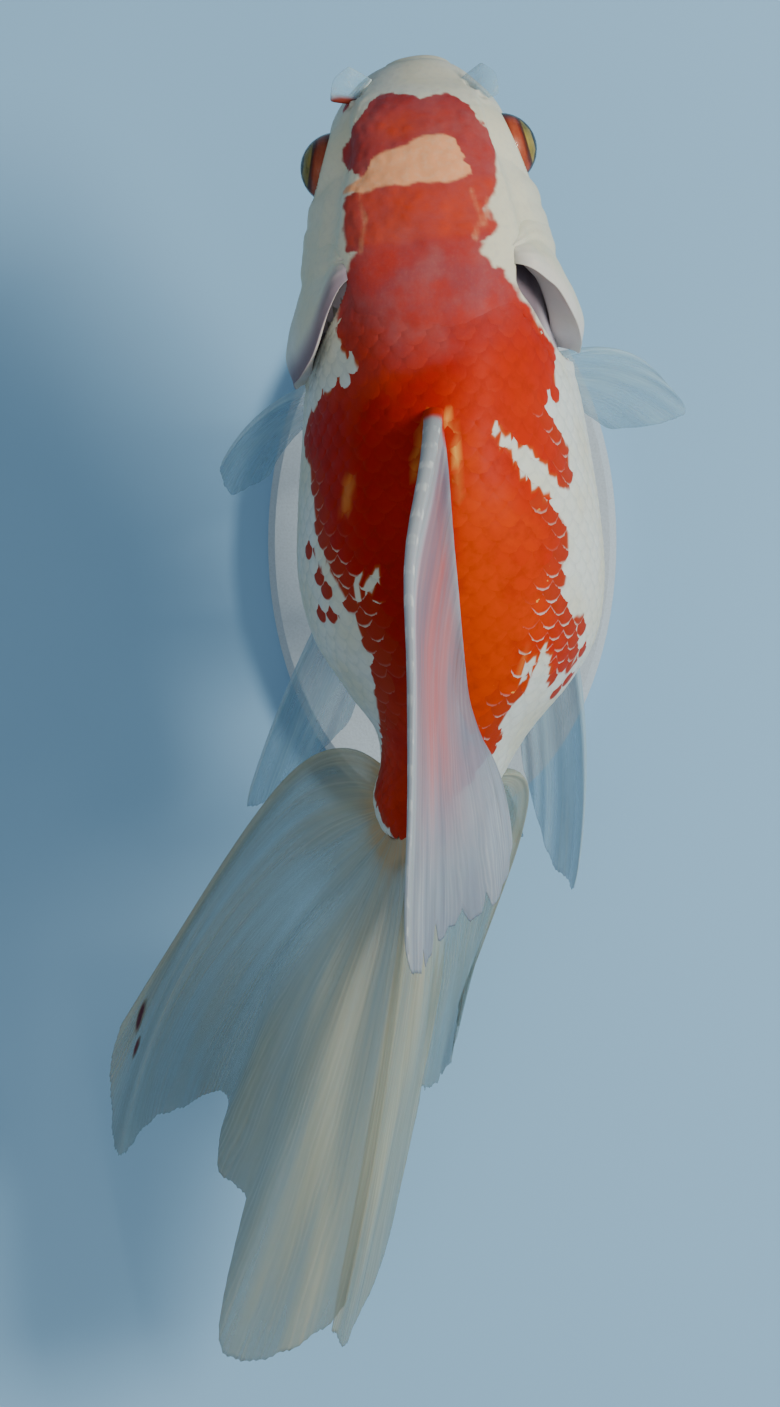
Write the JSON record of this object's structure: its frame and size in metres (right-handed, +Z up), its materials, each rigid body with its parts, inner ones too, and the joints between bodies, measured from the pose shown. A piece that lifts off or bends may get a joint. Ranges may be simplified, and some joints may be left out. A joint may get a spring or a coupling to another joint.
{
  "type": "fancy goldfish display model",
  "caption": "Life-size long-finned fancy goldfish model in orange-red and white, with a flowing twin tail, held on a plain display stand.",
  "frame": {"origin": "middle of the underside of the stand's base, on the surface it stands on", "axes": "+Z up, the fish faces -Y, +X is to the fish's left"},
  "size_m": [0.0917, 0.2019, 0.1308],
  "materials": {
    "red_skin": "satin orange-red fish skin with white flanks, painted under a clear coat",
    "pale_skin": "pearly cream-white fish skin",
    "fin_membrane": "milky translucent fin membrane with fine rays",
    "eye_shell": "clear domed eye over a red-brown and gold iris",
    "rod_steel": "brushed along the rod",
    "stand_paint": "fine matt off-white powder coat"
  },
  "bodies": {
    "root": {"head": "red_skin", "shoulder": "red_skin", "belly": "red_skin", "tail_stalk": "red_skin", "upper_lip": "pale_skin", "lower_lip": "pale_skin", "gill_cover_left": "pale_skin", "gill_cover_right": "pale_skin", "dorsal_fin": "fin_membrane", "tail_upper_left": "fin_membrane", "tail_lower_left": "fin_membrane", "tail_upper_right": "fin_membrane", "tail_lower_right": "fin_membrane", "pectoral_fin_left": "fin_membrane", "pectoral_fin_right": "fin_membrane", "pelvic_fin_left": "fin_membrane", "pelvic_fin_right": "fin_membrane", "anal_fin_left": "fin_membrane", "anal_fin_right": "fin_membrane", "nostril_flap_left": "fin_membrane", "nostril_flap_right": "fin_membrane", "eye_left": "eye_shell", "eye_right": "eye_shell", "stand_rod_front": "rod_steel", "stand_rod_rear": "rod_steel", "stand_base": "stand_paint"}
  },
  "joints": []
}
